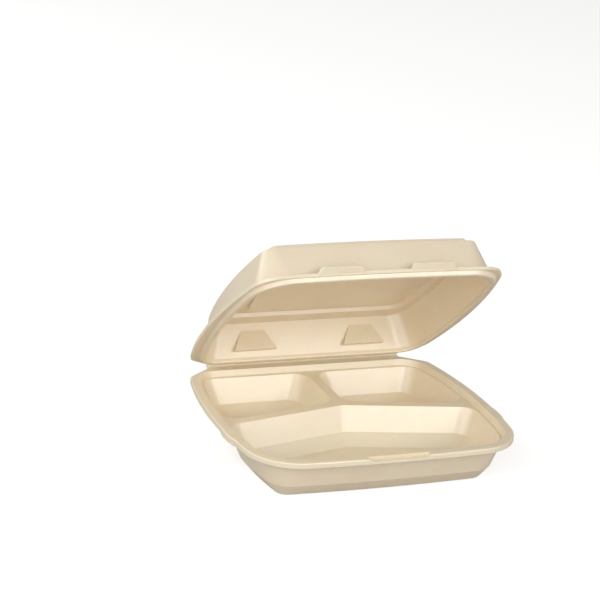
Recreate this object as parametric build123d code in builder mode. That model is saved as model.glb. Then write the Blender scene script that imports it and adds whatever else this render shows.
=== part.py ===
"""Foam clamshell container: a tray with three compartments and a hinged lid."""

import os
from math import copysign, cos, hypot, radians, sin, sqrt

from build123d import *

# Foam sheet and the room left between the two halves
sheet = 2.5
closed_gap = 0.4
nest_gap = 0.6

# Rim of the tray, measured from the fold line towards the front
rim_rear_half = 104.0
rim_middle_half = 117.5
rim_front_half = 106.5
rim_middle_reach = 98.0
rim_front_reach = 204.5
rim_front_bow = 4.0
rim_front_radius = 42.0
rim_rear_cut = 17.0
rim_rear_radius = 10.0
rim_edge_radius = 0.9

# Tray depth, flange and the seat inside it
tray_height = 37.5
flange_width = 7.5
lip_height = 4.2
lip_rear_gap = 14.0
seat_depth = 5.0
seat_draft = 1.5
seat_width = 2.0
seat_rear_width = 4.0
seat_rear_radius = 20.0

# Small tab in the flange on each side, where the lip hangs deeper
tab_reach = 1.1
tab_start = 124.0
tab_end = 149.0
tab_ramp = 7.0
tab_drop = 1.2
tab_overlap = 4.0

# Compartment walls: a steep wall, then a flatter foot above the floor
wall_fall = 20.0
wall_run = 8.0
foot_fall = 10.0
foot_run = 8.5
pocket_front_radius = 31.0
pocket_corner_radius = 13.0
corner_sharpening = 1.4
crest_radius = 2.2
foot_edge_radius = 2.0

# Divider between the compartments, a shallow V with a leg to the rear
divider_crest = 9.0
divider_apex_reach = 82.0
divider_side_reach = 104.0
divider_side_half = 100.0
apex_radius = 14.0

# Thumb dip in the middle of the front rim
dip_half = 23.0
dip_ramp = 3.0
dip_depth = 2.2

# Fold between tray and lid, behind the rear edge of the rim
fold_reach = 3.5
web_thickness = 1.4
web_overlap = 2.0
hinge_radius = 1.6
hinge_clearance = 0.3
open_angle = 40.0

# Rim of the lid, set back from the tray's rim
lid_rear_setback = 1.5
lid_middle_setback = 2.5
lid_front_setback = 5.5
lid_corner_setback = 6.0
lid_middle_advance = 12.0
lid_front_radius = 24.0
lid_rear_cut = 17.0
lid_rear_radius = 14.0

# Locating bead under the lid's flange, and the lid's wall
bead_depth = 3.0
bead_draft = 0.9
bead_front_radius = 34.0
lid_wall_height = 31.0
lid_wall_inset = 10.6
lid_wall_run = 10.5
lid_rear_reach = 9.8
lid_rear_run = 6.5
lid_foot_radius = 33.0
lid_top_radius = 9.0
lid_wall_rear_radius = 18.0

# Ledge, raised frame and sunk panel on top of the lid
frame_height = 3.5
frame_ledge = 7.0
frame_rear_ledge = 14.0
frame_shift = 4.5
frame_draft = 1.5
frame_corner_radius = 6.0
frame_rear_radius = 12.0
panel_inset = 54.0
panel_rear_reach = 44.0
panel_corner_radius = 3.0
lid_edge_radius = 1.2

# Stiffening wedges pressed into the rear wall of the lid
wedge_offset = 49.0
wedge_foot_half = 18.5
wedge_top_half = 9.8
wedge_foot_height = 5.0
wedge_top_height = 23.0
wedge_thickness = 5.5
wedge_sink = 0.3
wedge_overrun = 4.0

# Two tongues on the front edge of the lid
tongue_inner_root = 19.0
tongue_outer_root = 58.0
tongue_inner_tip = 21.5
tongue_outer_tip = 54.5
tongue_length = 7.6
tongue_setback = 1.5
tongue_angle = 42.0
tongue_tip_radius = 3.5
tongue_thickness = 2.0

# Tolerance when picking edges by their height
level_tolerance = 0.01

# Places worked out from the sizes above
wall_slope = wall_run / wall_fall
foot_slope = foot_run / foot_fall
wall_shift = sheet * hypot(1, wall_slope)
foot_shift = sheet * hypot(1, foot_slope)
break_depth = wall_fall + (foot_shift - wall_shift) / (foot_slope - wall_slope)
pocket_depth = wall_fall + foot_fall
pocket_inset = flange_width + seat_draft + seat_width
seat_slope = seat_draft / seat_depth
bead_slope = bead_draft / bead_depth
lid_slope = lid_wall_run / lid_wall_height
lid_rear_slope = lid_rear_run / lid_wall_height
lid_shift = sheet * hypot(1, lid_slope)
lid_rear_shift = sheet * hypot(1, lid_rear_slope)
divider_slope = (divider_side_reach - divider_apex_reach) / divider_side_half
divider_lean = hypot(1, divider_slope)
frame_inset = lid_wall_inset + lid_wall_run + frame_ledge
frame_rear = lid_rear_reach + lid_rear_run + frame_rear_ledge - frame_shift
lid_rear_edge = fold_reach - hinge_radius - hinge_clearance
rim_corner_reach = rim_front_reach - rim_front_bow
lid_rear_half = rim_rear_half - lid_rear_setback
lid_middle_half = rim_middle_half - lid_middle_setback
lid_front_half = rim_front_half - lid_front_setback
lid_middle_reach = rim_middle_reach - lid_middle_advance
lid_corner_reach = rim_corner_reach - lid_corner_setback
lid_front_reach = rim_front_reach - lid_corner_setback
hinge_half = rim_rear_half - rim_rear_cut

# The open lid reaches behind the fold, and the box is centred on its whole length
fold_angle = radians(open_angle)
fold_height = tray_height + closed_gap / 2
lid_top_reach = lid_rear_reach + lid_rear_run + fold_reach
lid_top_height = lid_wall_height + closed_gap / 2
rear_overhang = fold_reach + lid_top_height * sin(fold_angle) - lid_top_reach * cos(fold_angle)
centre_reach = (rim_front_reach - rear_overhang) / 2

# Both halves are drawn from the fold line, with the front along -Y
tray_frame = Plane(origin=(0, centre_reach, tray_height), z_dir=(0, 0, 1))
dip_frame = Plane(
    origin=(0, centre_reach - rim_front_reach - sheet, tray_height),
    x_dir=(1, 0, 0),
    z_dir=(0, -1, 0),
)
tongue_lean = radians(open_angle + tongue_angle)
dip_length = -(flange_width + sheet + sheet)
fold_frame = Plane(origin=(-hinge_half, centre_reach + fold_reach, fold_height), z_dir=(1, 0, 0))
lid_normal = Vector(0, sin(fold_angle), cos(fold_angle))
lid_forward = Vector(0, -cos(fold_angle), sin(fold_angle))
fold_point = Vector(0, centre_reach + fold_reach, fold_height)
lid_frame = Plane(
    origin=fold_point + lid_forward * fold_reach + lid_normal * (closed_gap / 2),
    x_dir=(1, 0, 0),
    z_dir=lid_normal,
)
top_frame = Plane(
    origin=lid_frame.from_local_coords(Vector(0, -frame_shift, 0)),
    x_dir=(1, 0, 0),
    z_dir=lid_normal,
)
tongue_frame = Plane(
    origin=lid_frame.from_local_coords(Vector(0, tongue_setback - lid_front_reach, 0)),
    x_dir=(1, 0, 0),
    z_dir=(0, sin(tongue_lean), cos(tongue_lean)),
)


side_arc = Edge.make_three_point_arc(
    Vector(rim_rear_half, 0),
    Vector(rim_middle_half, -rim_middle_reach),
    Vector(rim_front_half, -rim_corner_reach),
)


def side_half(reach):
    """Half width of the rim's side arc at a distance from the fold line."""
    along = reach + side_arc.arc_center.Y
    across = sqrt(side_arc.radius * side_arc.radius - along * along)
    return side_arc.arc_center.X + copysign(across, rim_middle_half - side_arc.arc_center.X)


def draw_rim(inset=0.0, rear_reach=None):
    """Sharp-cornered outline parallel to the tray's rim, with its rear edge where asked."""
    rear_y = 0 if rear_reach is None else inset - rear_reach
    with BuildLine() as rim:
        Line((-rim_rear_half, rear_y), (rim_rear_half, rear_y))
        ThreePointArc(
            (rim_rear_half, rear_y),
            (rim_middle_half, -rim_middle_reach),
            (rim_front_half, -rim_corner_reach),
        )
        ThreePointArc(
            (rim_front_half, -rim_corner_reach),
            (0, -rim_front_reach),
            (-rim_front_half, -rim_corner_reach),
        )
        ThreePointArc(
            (-rim_front_half, -rim_corner_reach),
            (-rim_middle_half, -rim_middle_reach),
            (-rim_rear_half, rear_y),
        )
    make_face(rim.edges())
    if inset:
        offset(amount=-inset, kind=Kind.INTERSECTION, mode=Mode.REPLACE)


def rim_section(frame, height, inset, front_radius, rear_radius, rear_reach=None):
    """Rounded outline parallel to the tray's rim, at a height above a frame."""
    with BuildSketch(frame.offset(height)) as section:
        draw_rim(inset, rear_reach)
        fillet(section.vertices().group_by(Axis.Y)[0], radius=front_radius)
        fillet(section.vertices().group_by(Axis.Y)[-1], radius=rear_radius)
    return section.sketch


def draw_tab(side, depth):
    """One side tab, drawn along the side arc and reaching a depth into the flange."""
    middle = (tab_start + tab_end) / 2
    outer = [tab_start + tab_ramp, middle, tab_end - tab_ramp]
    crest = [(side * (side_half(reach) + tab_reach), -reach) for reach in outer]
    root = [(side * side_half(reach), -reach) for reach in (tab_start, tab_end)]
    heel = [(side * (side_half(reach) - depth), -reach) for reach in (tab_start, tab_end)]
    with BuildLine() as line:
        Line(root[0], crest[0])
        ThreePointArc(*crest)
        Polyline(crest[-1], root[-1], heel[-1], heel[0], root[0])
    make_face(line.edges())


def flange_outline(inset):
    """Outline of the whole flange with its side tabs, moved in by a distance."""
    with BuildSketch(tray_frame) as outline:
        draw_rim()
        fillet(outline.vertices().group_by(Axis.Y)[0], radius=rim_front_radius)
        chamfer(outline.vertices().group_by(Axis.Y)[-1], length=rim_rear_cut)
        rear_corners = outline.vertices().filter_by_position(Axis.Y, -rim_rear_cut - rim_rear_cut, 0)
        fillet(rear_corners, radius=rim_rear_radius)
        for side in (-1, 1):
            draw_tab(side, tab_overlap)
        if inset:
            offset(amount=-inset, mode=Mode.REPLACE)
    return outline.sketch


def front_region(edge_gap):
    """Corners of the area in front of the divider."""
    far_half = max(rim_middle_half, rim_front_half) + flange_width
    apex_y = -(divider_apex_reach + edge_gap * divider_lean)
    side_y = apex_y - divider_slope * far_half
    front_y = -(rim_front_reach + flange_width)
    return [(0, apex_y), (far_half, side_y), (far_half, front_y), (-far_half, front_y), (-far_half, side_y)]


def right_region(edge_gap):
    """Corners of the area behind the divider, right of its rear leg."""
    far_half = max(rim_middle_half, rim_front_half) + flange_width
    apex_y = -(divider_apex_reach - edge_gap * divider_lean)
    inner_y = apex_y - divider_slope * edge_gap
    side_y = apex_y - divider_slope * far_half
    return [(edge_gap, flange_width), (far_half, flange_width), (far_half, side_y), (edge_gap, inner_y)]


def left_region(edge_gap):
    """Corners of the area behind the divider, left of its rear leg."""
    return [(-x, y) for x, y in right_region(edge_gap)]


def pocket_section(region, depth, growth, thickness):
    """Outline of one compartment at a depth below the seat, moved out by a thickness."""
    front_radius = pocket_front_radius - corner_sharpening * growth + thickness
    side_radius = pocket_corner_radius + thickness
    inset = pocket_inset + growth - thickness
    rear_reach = inset - seat_width + seat_rear_width
    with BuildSketch(tray_frame.offset(-seat_depth - depth)) as section:
        draw_rim(inset, rear_reach)
        with BuildLine() as border:
            Polyline(*region(divider_crest / 2 + growth - thickness), close=True)
        make_face(border.edges(), mode=Mode.INTERSECT)
        if region is front_region:
            fillet(section.vertices().group_by(Axis.Y)[0], radius=front_radius)
            fillet(section.vertices().group_by(Axis.Y)[-1], radius=apex_radius)
            fillet(section.vertices().filter_by(side_corner), radius=side_radius)
        else:
            fillet(section.vertices(), radius=side_radius)
    return section.sketch


def side_corner(vertex):
    """True for the two corners where the divider meets the sides."""
    return abs(vertex.X) > divider_side_half / 2 and vertex.Y > -(divider_side_reach + pocket_front_radius)


pocket_regions = [front_region, right_region, left_region]


def dip_profile(drop):
    """Side view of the thumb dip, lowered by a distance."""
    with BuildSketch(dip_frame) as profile:
        with BuildLine() as line:
            Polyline(
                (-dip_half - dip_ramp, sheet),
                (-dip_half - dip_ramp, -drop),
                (-dip_half, -drop - dip_depth),
                (dip_half, -drop - dip_depth),
                (dip_half + dip_ramp, -drop),
                (dip_half + dip_ramp, sheet),
                close=True,
            )
        make_face(line.edges())
    return profile.sketch


def wedge_section(side, height, trim, rear_reach):
    """Cross-section of one wedge on the lid's rear wall, trimmed by a distance."""
    rise = (height - wedge_foot_height) / (wedge_top_height - wedge_foot_height)
    half = wedge_foot_half + (wedge_top_half - wedge_foot_half) * rise - trim
    wall_reach = lid_rear_reach + lid_rear_slope * height
    front_reach = wall_reach + lid_rear_shift + wedge_thickness * (1 - rise) - trim - wedge_sink
    with BuildSketch(lid_frame.offset(height)) as section:
        with BuildLine() as line:
            Polyline(
                (side * wedge_offset - half, -wall_reach - rear_reach),
                (side * wedge_offset + half, -wall_reach - rear_reach),
                (side * wedge_offset + half, -front_reach),
                (side * wedge_offset - half, -front_reach),
                close=True,
            )
        make_face(line.edges())
    return section.sketch


def lid_level(height):
    """Test for edges that lie at one height above the lid's frame."""
    return lambda edge: all(
        abs(lid_frame.to_local_coords(vertex.center()).Z - height) < level_tolerance
        for vertex in edge.vertices()
    )


# Lowered stretch of flange under the thumb dip
with BuildPart() as dip_floor:
    extrude(flange_outline(0), amount=-lip_height)
    extrude(dip_profile(sheet), amount=dip_length, mode=Mode.INTERSECT)

# Tray: flange, turned-down lip, seat and three compartments in one sheet
with BuildPart() as base_tray:
    extrude(flange_outline(0), amount=-lip_height)
    extrude(flange_outline(sheet), amount=-lip_height, mode=Mode.SUBTRACT)
    with BuildSketch(tray_frame) as rear_band:
        with Locations((0, -lip_rear_gap)):
            Rectangle(
                rim_middle_half + rim_middle_half,
                lip_rear_gap + lip_rear_gap,
                align=(Align.CENTER, Align.MIN),
            )
    extrude(rear_band.sketch, amount=-lip_height, mode=Mode.SUBTRACT)
    for side in (-1, 1):
        with BuildSketch(tray_frame) as tab_lip:
            draw_tab(side, sheet - tab_reach)
        extrude(tab_lip.sketch, amount=-(lip_height + tab_drop))
    extrude(flange_outline(0), amount=-sheet)
    add(dip_floor.part)
    extrude(dip_profile(0), amount=dip_length, mode=Mode.SUBTRACT)
    fillet(base_tray.faces().sort_by(Axis.Z)[-1].outer_wire().edges(), radius=rim_edge_radius)
    loft(
        [
            rim_section(
                tray_frame,
                0,
                flange_width - sheet,
                rim_front_radius - flange_width + sheet,
                seat_rear_radius + sheet,
            ),
            rim_section(
                tray_frame,
                -seat_depth - sheet,
                flange_width - sheet + seat_slope * (seat_depth + sheet),
                rim_front_radius - flange_width + sheet,
                seat_rear_radius + sheet,
            ),
        ],
        ruled=True,
    )
    floor_growth = wall_run + foot_slope * (foot_fall + sheet)
    for region in pocket_regions:
        loft(
            [
                pocket_section(region, 0, 0, wall_shift),
                pocket_section(region, break_depth, wall_slope * break_depth, wall_shift),
                pocket_section(region, pocket_depth + sheet, floor_growth, foot_shift),
            ],
            ruled=True,
        )
    feet = base_tray.faces().filter_by(Plane.XY).group_by(Axis.Z)[0]
    fillet(feet.edges(), radius=foot_edge_radius + sheet)
    loft(
        [
            rim_section(tray_frame, 0, flange_width, rim_front_radius - flange_width, seat_rear_radius),
            rim_section(
                tray_frame,
                -seat_depth,
                flange_width + seat_draft,
                rim_front_radius - flange_width,
                seat_rear_radius,
            ),
        ],
        ruled=True,
        mode=Mode.SUBTRACT,
    )
    for region in pocket_regions:
        loft(
            [
                pocket_section(region, 0, 0, 0),
                pocket_section(region, wall_fall, wall_run, 0),
                pocket_section(region, pocket_depth, wall_run + foot_run, 0),
            ],
            ruled=True,
            mode=Mode.SUBTRACT,
        )
    level_faces = base_tray.faces().filter_by(Plane.XY)
    seat_face = level_faces.filter_by(lambda face: len(face.inner_wires()) == len(pocket_regions))[0]
    pocket_edges = ShapeList([edge for wire in seat_face.inner_wires() for edge in wire.edges()])
    fillet(pocket_edges, radius=crest_radius)
    floors = base_tray.faces().filter_by(Plane.XY).group_by(Axis.Z)[1]
    fillet(floors.edges(), radius=foot_edge_radius)
    with BuildSketch(tray_frame) as fold_web:
        with Locations((0, -web_overlap)):
            Rectangle(hinge_half + hinge_half, fold_reach + web_overlap, align=(Align.CENTER, Align.MIN))
    extrude(fold_web.sketch, amount=-web_thickness)
    with BuildSketch(fold_frame) as fold_end:
        Circle(hinge_radius)
    extrude(fold_end.sketch, amount=hinge_half + hinge_half)

# Hollow inside the raised frame of the lid
with BuildPart() as frame_core:
    loft(
        [
            rim_section(
                top_frame,
                lid_wall_height - sheet,
                frame_inset + sheet,
                frame_corner_radius,
                frame_rear_radius,
                frame_rear + sheet,
            ),
            rim_section(
                top_frame,
                lid_wall_height - sheet + frame_height,
                frame_inset + sheet + frame_draft,
                frame_corner_radius,
                frame_rear_radius,
                frame_rear + sheet + frame_draft,
            ),
        ],
        ruled=True,
    )
    extrude(
        rim_section(
            top_frame,
            lid_wall_height - sheet,
            panel_inset - sheet,
            panel_corner_radius + sheet,
            panel_corner_radius + sheet,
            panel_rear_reach - sheet,
        ),
        amount=frame_height,
        mode=Mode.SUBTRACT,
    )

# Lid: flange, locating bead, sloping wall, raised frame and sunk panel
with BuildPart() as lid:
    with BuildSketch(lid_frame) as lid_rim:
        with BuildLine() as edge_line:
            Line((-lid_rear_half, lid_rear_edge), (lid_rear_half, lid_rear_edge))
            ThreePointArc(
                (lid_rear_half, lid_rear_edge),
                (lid_middle_half, -lid_middle_reach),
                (lid_front_half, -lid_corner_reach),
            )
            ThreePointArc(
                (lid_front_half, -lid_corner_reach),
                (0, -lid_front_reach),
                (-lid_front_half, -lid_corner_reach),
            )
            ThreePointArc(
                (-lid_front_half, -lid_corner_reach),
                (-lid_middle_half, -lid_middle_reach),
                (-lid_rear_half, lid_rear_edge),
            )
        make_face(edge_line.edges())
        fillet(lid_rim.vertices().group_by(Axis.Y)[0], radius=lid_front_radius)
        chamfer(lid_rim.vertices().group_by(Axis.Y)[-1], length=lid_rear_cut)
        rear_corners = lid_rim.vertices().filter_by_position(Axis.Y, -lid_rear_cut - lid_rear_cut, fold_reach)
        fillet(rear_corners, radius=lid_rear_radius)
    extrude(lid_rim.sketch, amount=sheet)
    loft(
        [
            rim_section(lid_frame, 0, flange_width + nest_gap, bead_front_radius, seat_rear_radius),
            rim_section(
                lid_frame,
                -closed_gap - bead_depth,
                flange_width + nest_gap + bead_slope * bead_depth,
                bead_front_radius,
                seat_rear_radius,
            ),
        ],
        ruled=True,
    )
    loft(
        [
            rim_section(
                lid_frame,
                sheet,
                flange_width + nest_gap + sheet,
                bead_front_radius - sheet,
                seat_rear_radius - sheet,
            ),
            rim_section(
                lid_frame,
                sheet - closed_gap - bead_depth,
                flange_width + nest_gap + sheet + bead_slope * bead_depth,
                bead_front_radius - sheet,
                seat_rear_radius - sheet,
            ),
        ],
        ruled=True,
        mode=Mode.SUBTRACT,
    )
    wall_start = sheet / 2 - closed_gap - bead_depth
    loft(
        [
            rim_section(
                lid_frame,
                wall_start,
                lid_wall_inset + lid_slope * wall_start,
                lid_foot_radius,
                lid_wall_rear_radius,
                lid_rear_reach + lid_rear_slope * wall_start,
            ),
            rim_section(
                lid_frame,
                lid_wall_height,
                lid_wall_inset + lid_wall_run,
                lid_top_radius,
                lid_wall_rear_radius,
                lid_rear_reach + lid_rear_run,
            ),
        ],
        ruled=True,
    )
    loft(
        [
            rim_section(
                top_frame,
                lid_wall_height,
                frame_inset,
                frame_corner_radius,
                frame_rear_radius,
                frame_rear,
            ),
            rim_section(
                top_frame,
                lid_wall_height + frame_height,
                frame_inset + frame_draft,
                frame_corner_radius,
                frame_rear_radius,
                frame_rear + frame_draft,
            ),
        ],
        ruled=True,
    )
    extrude(
        rim_section(
            top_frame,
            lid_wall_height,
            panel_inset,
            panel_corner_radius,
            panel_corner_radius,
            panel_rear_reach,
        ),
        amount=frame_height,
        mode=Mode.SUBTRACT,
    )
    mouth = rim_section(
        lid_frame,
        0,
        lid_wall_inset + lid_shift,
        lid_foot_radius - lid_shift,
        lid_wall_rear_radius - sheet,
        lid_rear_reach + lid_rear_shift,
    )
    extrude(mouth, amount=-closed_gap - bead_depth, mode=Mode.SUBTRACT)
    loft(
        [
            mouth,
            rim_section(
                lid_frame,
                lid_wall_height - sheet,
                lid_wall_inset + lid_slope * (lid_wall_height - sheet) + lid_shift,
                lid_top_radius - sheet,
                lid_wall_rear_radius - sheet,
                lid_rear_reach + lid_rear_slope * (lid_wall_height - sheet) + lid_rear_shift,
            ),
        ],
        ruled=True,
        mode=Mode.SUBTRACT,
    )
    add(frame_core.part, mode=Mode.SUBTRACT)
    for height, radius in [
        (lid_wall_height + frame_height, lid_edge_radius),
        (lid_wall_height, lid_edge_radius / 2),
        (lid_wall_height - sheet, lid_edge_radius / 2),
        (lid_wall_height - sheet + frame_height, lid_edge_radius / 2),
        (-closed_gap - bead_depth, lid_edge_radius),
    ]:
        fillet(lid.edges().filter_by(lid_level(height)), radius=radius)
    for side in (-1, 1):
        loft(
            [
                wedge_section(side, wedge_foot_height, 0, sheet / 2),
                wedge_section(side, wedge_top_height, 0, sheet / 2),
            ],
            ruled=True,
        )
        loft(
            [
                wedge_section(side, wedge_foot_height + sheet, sheet, -wedge_overrun),
                wedge_section(side, wedge_top_height, sheet, -wedge_overrun),
            ],
            ruled=True,
            mode=Mode.SUBTRACT,
        )
        with BuildSketch(tongue_frame) as tongue:
            with BuildLine() as line:
                Polyline(
                    (side * tongue_inner_root, 0),
                    (side * tongue_outer_root, 0),
                    (side * tongue_outer_tip, -tongue_length),
                    (side * tongue_inner_tip, -tongue_length),
                    close=True,
                )
            make_face(line.edges())
            fillet(tongue.vertices().group_by(Axis.Y)[0], radius=tongue_tip_radius)
        extrude(tongue.sketch, amount=tongue_thickness)

os.makedirs("parts", exist_ok=True)
base_tray.part.label = "base_tray"
lid.part.label = "lid"
export_step(base_tray.part, "parts/base_tray.step")
export_step(lid.part, "parts/lid.step")
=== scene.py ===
"""Foam clamshell container, half open, on a plain pale floor."""

import math

import bpy
from mathutils import Matrix, Vector

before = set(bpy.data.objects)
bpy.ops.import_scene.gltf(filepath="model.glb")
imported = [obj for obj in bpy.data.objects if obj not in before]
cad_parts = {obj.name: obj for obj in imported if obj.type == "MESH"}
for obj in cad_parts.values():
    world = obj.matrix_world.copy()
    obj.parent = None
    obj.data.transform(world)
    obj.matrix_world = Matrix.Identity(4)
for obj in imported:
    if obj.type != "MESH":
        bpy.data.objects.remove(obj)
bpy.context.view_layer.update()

# Camera, as fitted to the photograph. Its azimuth runs from the front towards the left.
CAMERA_AZIMUTH = math.radians(22.46)
CAMERA_ELEVATION = math.radians(18.74)
CAMERA_ROLL = math.radians(4.66)
CAMERA_DISTANCE = 1.57025
CAMERA_AIM = Vector((-0.03098, 0.04481, 0.11323))
CAMERA_LENS = 116.32
CAMERA_SENSOR = 36.0
CAMERA_NEAR = 0.05
CAMERA_FAR = 50.0

# Foam colours: the lighter and the darker end of its mottle, and where it is drawn over an edge
FOAM_COLOUR = (0.87, 0.775, 0.605)
FOAM_DEEP = (0.84, 0.725, 0.55)
FOAM_EDGE = (0.88, 0.80, 0.645)

# Foam patterns, in features per metre. The cells are about 1.6 mm wide.
CELL_SCALE = 620.0
GRAIN_SCALE = 1900.0
SPECKLE_SCALE = 330.0
WAVE_SCALE = 85.0
MOTTLE_SCALE = 38.0
NOISE_LOW, NOISE_HIGH = 0.3, 0.7  # between these a noise has nearly all of its values
PATTERN_SHIFT = 0.4  # metres from one node's pattern to the next one's

# Share of each pattern in the foam's colour
MOTTLE_SHARE = 0.6
SPECKLE_SHARE = 0.2
CELL_SHARE = 0.2
CELL_MIDDLE, CELL_BORDER = 0.1, 0.6  # distances, in the pattern's own measure

# Edges: radius looked over, the cosines of the bend where wear starts and is full, and how
# the speckle breaks the wear up, from the values in the first row to those in the second
EDGE_RADIUS = 0.0016
EDGE_SAMPLES = 6
BEND_START, BEND_FULL = 0.995, 0.86
RUB_FROM = (0.35, 0.6)
RUB_TO = (0.15, 0.6)

# Roughness of the skin, and what the grain and the worn edges add to it
SKIN_ROUGHNESS = (0.295, 0.345)
GRAIN_ROUGHNESS = 0.02
WORN_ROUGHNESS = 0.12

# Bump: strength, and height in metres
WAVE_BUMP = (0.3, 0.0004)
CELL_BUMP = (0.4, 0.00013)
GRAIN_BUMP = (0.3, 0.00003)

# Floor: as it lights the object, as the camera sees it, and the plain white added to that
FLOOR_COLOUR = (0.50, 0.50, 0.50)
FLOOR_SEEN = (0.65, 0.65, 0.65)
FLOOR_WHITE = 0.62
FLOOR_HALF = 7.0
FLOOR_HEIGHT = -0.0002

# Softboxes: azimuth from the front towards the right and elevation, both in degrees, then
# distance, width and height in metres, and power in watts
SOFTBOXES = {
    "key": (22.0, 25.0, 2.2, 2.5, 0.85, 22.0),
    "side": (-62.0, 26.0, 2.2, 2.4, 1.8, 26.0),
    "front": (-12.0, 16.0, 2.4, 3.0, 1.2, 6.5),
    "back": (-140.0, 27.0, 2.4, 1.8, 1.2, 13.0),
}
SOFTBOX_AIM = Vector((0.0, 0.0, 0.06))
LIGHT_COLOUR = (1.0, 0.99, 0.97)
WORLD_STRENGTH = 0.34

# Sockets of the mix node when it blends colours
MIX_SHARE, MIX_FIRST, MIX_SECOND, MIX_RESULT = 0, 6, 7, 2


class Nodes:
    """Builds one node tree."""

    def __init__(self, tree):
        self.tree = tree
        tree.nodes.clear()

    def add(self, kind, inputs=None, **settings):
        """New node, with each input either linked to a socket or set to a value."""
        node = self.tree.nodes.new(kind)
        for name, value in settings.items():
            setattr(node, name, value)
        for name, value in (inputs or {}).items():
            if isinstance(value, bpy.types.NodeSocket):
                self.tree.links.new(value, node.inputs[name])
            else:
                node.inputs[name].default_value = value
        return node

    def noise(self, place, scale, detail, roughness):
        """Noise of the scale asked for, with finer noise on top."""
        inputs = {"Vector": place, "Scale": scale, "Detail": detail, "Roughness": roughness}
        return self.add("ShaderNodeTexNoise", inputs).outputs["Fac"]

    def ramp(self, value, low, high, to_low=0.0, to_high=1.0):
        """Value between low and high, stretched to the range asked for."""
        inputs = {
            "Value": value,
            "From Min": low,
            "From Max": high,
            "To Min": to_low,
            "To Max": to_high,
        }
        return self.add("ShaderNodeMapRange", inputs).outputs["Result"]

    def calculate(self, operation, *values):
        """Result of one operation on the values."""
        inputs = dict(enumerate(values))
        return self.add("ShaderNodeMath", inputs, operation=operation).outputs[0]

    def blend(self, share, first, second):
        """Colour that goes from the first to the second."""
        inputs = {MIX_SHARE: share, MIX_FIRST: first, MIX_SECOND: second}
        return self.add("ShaderNodeMix", inputs, data_type="RGBA").outputs[MIX_RESULT]

    def bump(self, height, size, under=None, invert=False):
        """Normal bent by the height, over the normal under it."""
        strength, distance = size
        inputs = {"Height": height, "Strength": strength, "Distance": distance}
        if under is not None:
            inputs["Normal"] = under
        return self.add("ShaderNodeBump", inputs, invert=invert).outputs["Normal"]

    def diffuse(self, colour):
        """Plain matt shader."""
        return self.add("ShaderNodeBsdfDiffuse", {"Color": (*colour, 1.0)}).outputs[0]

    def by_camera(self, other, seen):
        """Shader that is one for the camera and another for all other rays."""
        camera_ray = self.add("ShaderNodeLightPath").outputs["Is Camera Ray"]
        return self.add("ShaderNodeMixShader", {0: camera_ray, 1: other, 2: seen}).outputs[0]


def new_material(name):
    """Material with an empty node tree."""
    material = bpy.data.materials.new(name)
    material.use_nodes = True
    return material, Nodes(material.node_tree)


def add_camera():
    """Camera at the photograph's viewing angle."""
    sin_a, cos_a = math.sin(CAMERA_AZIMUTH), math.cos(CAMERA_AZIMUTH)
    sin_e, cos_e = math.sin(CAMERA_ELEVATION), math.cos(CAMERA_ELEVATION)
    back = Vector((-sin_a * cos_e, -cos_a * cos_e, sin_e))
    level = Vector((cos_a, -sin_a, 0.0))
    upright = back.cross(level)
    right = level * math.cos(CAMERA_ROLL) + upright * math.sin(CAMERA_ROLL)
    up = upright * math.cos(CAMERA_ROLL) - level * math.sin(CAMERA_ROLL)
    data = bpy.data.cameras.new("camera")
    data.sensor_width = CAMERA_SENSOR
    data.lens = CAMERA_LENS
    data.clip_start = CAMERA_NEAR
    data.clip_end = CAMERA_FAR
    camera = bpy.data.objects.new("camera", data)
    place = Matrix.Translation(CAMERA_AIM + back * CAMERA_DISTANCE)
    camera.matrix_world = place @ Matrix((right, up, back)).transposed().to_4x4()
    bpy.context.scene.collection.objects.link(camera)
    bpy.context.scene.camera = camera


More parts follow.
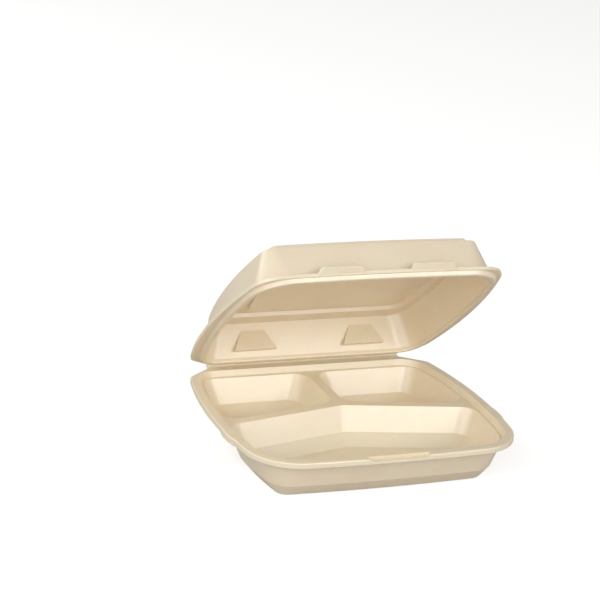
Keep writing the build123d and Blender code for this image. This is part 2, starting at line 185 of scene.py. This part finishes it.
def foam_material(name, shift):
    """Formed polystyrene foam: a satin skin over fine closed cells."""
    material, nodes = new_material(name)
    place = nodes.add("ShaderNodeTexCoord").outputs["Object"]
    inputs = {"Vector": place, "Location": (shift, 0.0, 0.0)}
    place = nodes.add("ShaderNodeMapping", inputs).outputs["Vector"]

    # Cells of the foam, a grain inside them, and the slow unevenness of the sheet
    inputs = {"Vector": place, "Scale": CELL_SCALE, "Smoothness": 0.6, "Randomness": 1.0}
    cells = nodes.add("ShaderNodeTexVoronoi", inputs, feature="SMOOTH_F1").outputs["Distance"]
    grain = nodes.noise(place, GRAIN_SCALE, detail=2.0, roughness=0.6)
    speckle = nodes.noise(place, SPECKLE_SCALE, detail=3.0, roughness=0.6)
    mottle = nodes.noise(place, MOTTLE_SCALE, detail=3.0, roughness=0.5)
    waves = nodes.noise(place, WAVE_SCALE, detail=2.0, roughness=0.5)
    even_speckle = nodes.ramp(speckle, NOISE_LOW, NOISE_HIGH)

    # Edges, where the hot sheet is drawn thin and later rubbed
    rounded = nodes.add("ShaderNodeBevel", {"Radius": EDGE_RADIUS}, samples=EDGE_SAMPLES)
    facing = nodes.add("ShaderNodeNewGeometry")
    inputs = {0: rounded.outputs["Normal"], 1: facing.outputs["Normal"]}
    bend = nodes.add("ShaderNodeVectorMath", inputs, operation="DOT_PRODUCT").outputs["Value"]
    edge = nodes.ramp(bend, BEND_START, BEND_FULL)
    rubbed = nodes.ramp(speckle, *RUB_FROM, *RUB_TO)
    worn = nodes.calculate("MULTIPLY", edge, rubbed)

    # Colour: dark towards the cells' borders, light along worn edges
    shade = nodes.calculate("MULTIPLY", nodes.ramp(mottle, NOISE_LOW, NOISE_HIGH), MOTTLE_SHARE)
    shade = nodes.calculate("MULTIPLY_ADD", even_speckle, SPECKLE_SHARE, shade)
    cell_middles = nodes.ramp(cells, CELL_MIDDLE, CELL_BORDER, to_low=1.0, to_high=0.0)
    shade = nodes.calculate("MULTIPLY_ADD", cell_middles, CELL_SHARE, shade)
    colour = nodes.blend(shade, (*FOAM_DEEP, 1.0), (*FOAM_COLOUR, 1.0))
    colour = nodes.blend(worn, colour, (*FOAM_EDGE, 1.0))

    roughness = nodes.ramp(speckle, NOISE_LOW, NOISE_HIGH, *SKIN_ROUGHNESS)
    even_grain = nodes.ramp(grain, NOISE_LOW, NOISE_HIGH)
    roughness = nodes.calculate("MULTIPLY_ADD", even_grain, GRAIN_ROUGHNESS, roughness)
    roughness = nodes.calculate("MULTIPLY_ADD", worn, WORN_ROUGHNESS, roughness)

    surface = nodes.bump(waves, WAVE_BUMP)
    surface = nodes.bump(cells, CELL_BUMP, under=surface, invert=True)
    surface = nodes.bump(grain, GRAIN_BUMP, under=surface)

    shader = nodes.add(
        "ShaderNodeBsdfPrincipled",
        {
            "Base Color": colour,
            "Roughness": roughness,
            "Normal": surface,
            "IOR": 1.6,
            "Specular IOR Level": 1.0,
            "Subsurface Weight": 0.5,
            "Subsurface Radius": (1.0, 0.62, 0.34),
            "Subsurface Scale": 0.004,
        },
    )
    nodes.add("ShaderNodeOutputMaterial", {"Surface": shader.outputs["BSDF"]})
    return material


def floor_material():
    """Pale studio floor that keeps the shadow and reads as white to the camera."""
    material, nodes = new_material("studio_floor")
    white = nodes.add("ShaderNodeEmission", {"Strength": FLOOR_WHITE}).outputs[0]
    shown = nodes.add("ShaderNodeAddShader", {0: nodes.diffuse(FLOOR_SEEN), 1: white}).outputs[0]
    surface = nodes.by_camera(nodes.diffuse(FLOOR_COLOUR), shown)
    nodes.add("ShaderNodeOutputMaterial", {"Surface": surface})
    return material


def add_floor():
    """Floor under the object, larger than the camera sees."""
    signs = ((-1, -1), (1, -1), (1, 1), (-1, 1))
    corners = [(x * FLOOR_HALF, y * FLOOR_HALF, 0.0) for x, y in signs]
    mesh = bpy.data.meshes.new("floor")
    mesh.from_pydata(corners, [], [(0, 1, 2, 3)])
    mesh.materials.append(floor_material())
    floor = bpy.data.objects.new("floor", mesh)
    floor.location.z = FLOOR_HEIGHT
    bpy.context.scene.collection.objects.link(floor)


def add_softbox(name, azimuth, elevation, distance, width, height, power):
    """Soft rectangular studio light that faces the object's middle."""
    azimuth, elevation = math.radians(azimuth), math.radians(elevation)
    toward = Vector((
        math.sin(azimuth) * math.cos(elevation),
        -math.cos(azimuth) * math.cos(elevation),
        math.sin(elevation),
    ))
    data = bpy.data.lights.new(name, "AREA")
    data.shape = "RECTANGLE"
    data.size = width
    data.size_y = height
    data.energy = power
    data.color = LIGHT_COLOUR
    light = bpy.data.objects.new(name, data)
    turn = toward.to_track_quat("Z", "Y").to_matrix().to_4x4()
    light.matrix_world = Matrix.Translation(SOFTBOX_AIM + toward * distance) @ turn
    bpy.context.scene.collection.objects.link(light)


def add_world():
    """Soft light from all round, seen as white by the camera."""
    world = bpy.data.worlds.new("studio")
    world.use_nodes = True
    nodes = Nodes(world.node_tree)
    inputs = {"Color": (*LIGHT_COLOUR, 1.0), "Strength": WORLD_STRENGTH}
    soft = nodes.add("ShaderNodeBackground", inputs).outputs[0]
    inputs = {"Color": (1.0, 1.0, 1.0, 1.0), "Strength": 1.0}
    white = nodes.add("ShaderNodeBackground", inputs).outputs[0]
    nodes.add("ShaderNodeOutputWorld", {"Surface": nodes.by_camera(soft, white)})
    bpy.context.scene.world = world


add_camera()

for index, node in enumerate(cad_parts.values()):
    foam = foam_material("foam_" + node.name, PATTERN_SHIFT * index)
    for slot in node.material_slots:
        slot.material = foam

add_floor()
for name, settings in SOFTBOXES.items():
    add_softbox(name, *settings)
add_world()

scene = bpy.context.scene
scene.view_settings.view_transform = "Standard"
